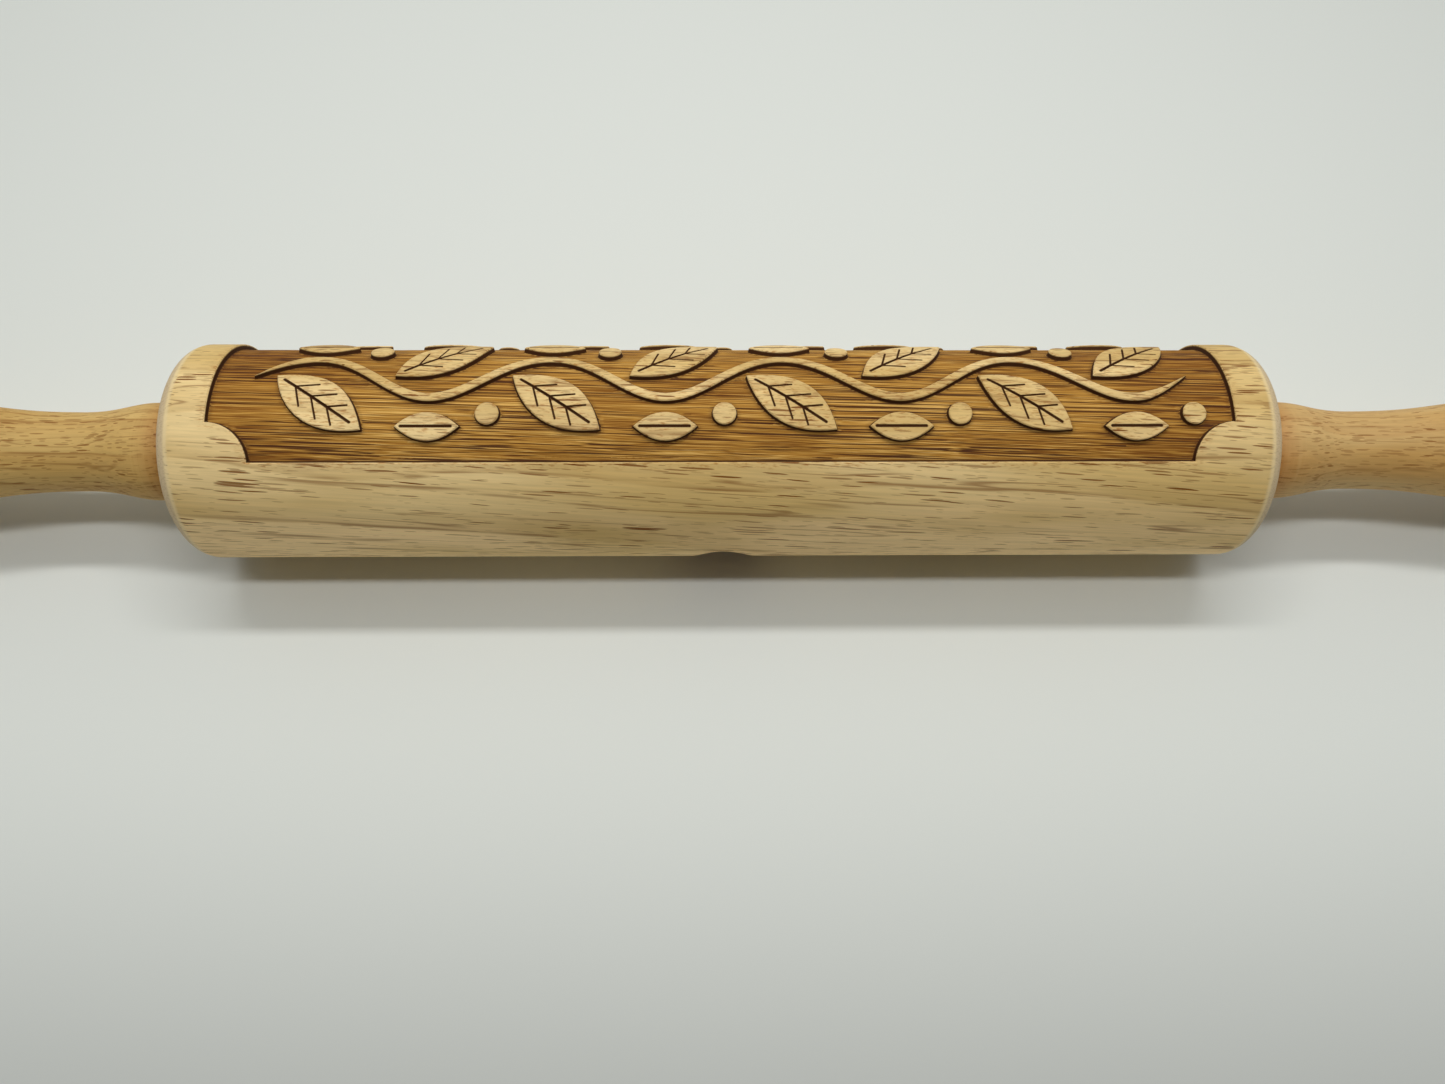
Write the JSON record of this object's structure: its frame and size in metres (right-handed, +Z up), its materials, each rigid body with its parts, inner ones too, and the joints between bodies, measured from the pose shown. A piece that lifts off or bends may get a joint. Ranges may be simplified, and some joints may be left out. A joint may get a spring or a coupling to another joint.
{
  "type": "embossed rolling pin",
  "caption": "Wooden rolling pin whose barrel, engraved with a leaf vine, turns on a steel axle between two turned handles, for rolling out and patterning dough.",
  "frame": {"origin": "middle of the axle, which is the middle of the whole pin", "axes": "+X along the axle, -Y towards the cook, +Z up with the plain side of the barrel on the table"},
  "size_m": [0.436, 0.0506, 0.0506],
  "materials": {
    "barrel_wood": "sanded pale rubberwood, unvarnished, with a burnt brown engraving",
    "handle_wood": "sanded tan rubberwood, lightly oiled",
    "plug_wood": "sanded dowel, end grain showing",
    "axle_steel": "bright drawn rod",
    "washer_steel": "zinc plated",
    "nut_steel": "zinc plated",
    "bush_nylon": "natural nylon"
  },
  "bodies": {
    "axle_and_handles": {"axle": "axle_steel", "left_thrust_washer": "washer_steel", "right_thrust_washer": "washer_steel", "left_handle": "handle_wood", "right_handle": "handle_wood", "left_nut_washer": "washer_steel", "right_nut_washer": "washer_steel", "left_nut": "nut_steel", "right_nut": "nut_steel", "left_end_plug": "plug_wood", "right_end_plug": "plug_wood"},
    "roller": {"barrel": "barrel_wood", "left_bush": "bush_nylon", "right_bush": "bush_nylon"}
  },
  "joints": [
    {"name": "barrel_spin", "type": "hinge", "parent": "axle_and_handles", "child": "roller", "pos_m": [0, 0, 0], "axis": [1, 0, 0], "continuous": true}
  ]
}
